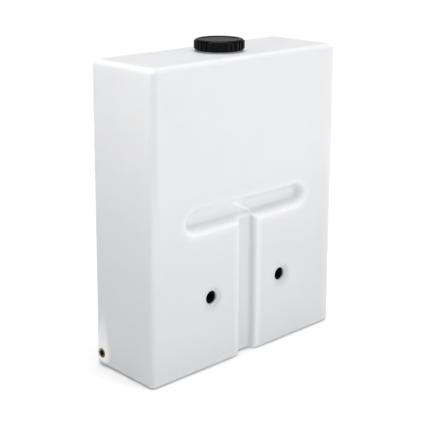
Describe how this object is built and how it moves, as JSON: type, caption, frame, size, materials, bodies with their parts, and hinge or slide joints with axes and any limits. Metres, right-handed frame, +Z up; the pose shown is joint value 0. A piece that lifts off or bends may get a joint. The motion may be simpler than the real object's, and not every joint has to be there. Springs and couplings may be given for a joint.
{
  "type": "vented header tank",
  "caption": "Tall slim translucent plastic header tank with a T-shaped front recess, sleeved through-holes, a threaded side outlet and a black vented screw lid.",
  "frame": {"origin": "centre of the flat base, between the side walls and between the front and back walls", "axes": "+Z up, +X to the right along the front, +Y from the recessed front to the plain back; the outlet is on the -X side"},
  "size_m": [0.7538, 0.258, 0.9348],
  "materials": {
    "tank": "natural translucent polyethylene, satin",
    "outlet_metal": "dull, tarnished",
    "sleeve": "matt black",
    "lid": "satin to gloss black",
    "gasket": "matt",
    "gauze": "woven wire"
  },
  "bodies": {
    "tank": {"tank_shell": "tank", "outlet_insert": "outlet_metal", "left_fixing_sleeve": "sleeve", "right_fixing_sleeve": "sleeve"},
    "seal": {"lid_gasket": "gasket"},
    "cap": {"lid": "lid", "vent_gauze": "gauze", "vent_retainer": "lid"}
  },
  "joints": [
    {"name": "lid_rise", "type": "slide", "parent": "tank", "child": "seal", "axis": [0, 0, 1], "range_m": [0, 0.0401]},
    {"name": "lid_spin", "type": "hinge", "parent": "seal", "child": "cap", "pos_m": [0, 0, 0.92], "axis": [0, 0, 1], "range_deg": [0, 1440]}
  ],
  "couplings": [
    {"joint": "lid_rise", "follows": "lid_spin", "m_per_rad": 0.0015915}
  ]
}
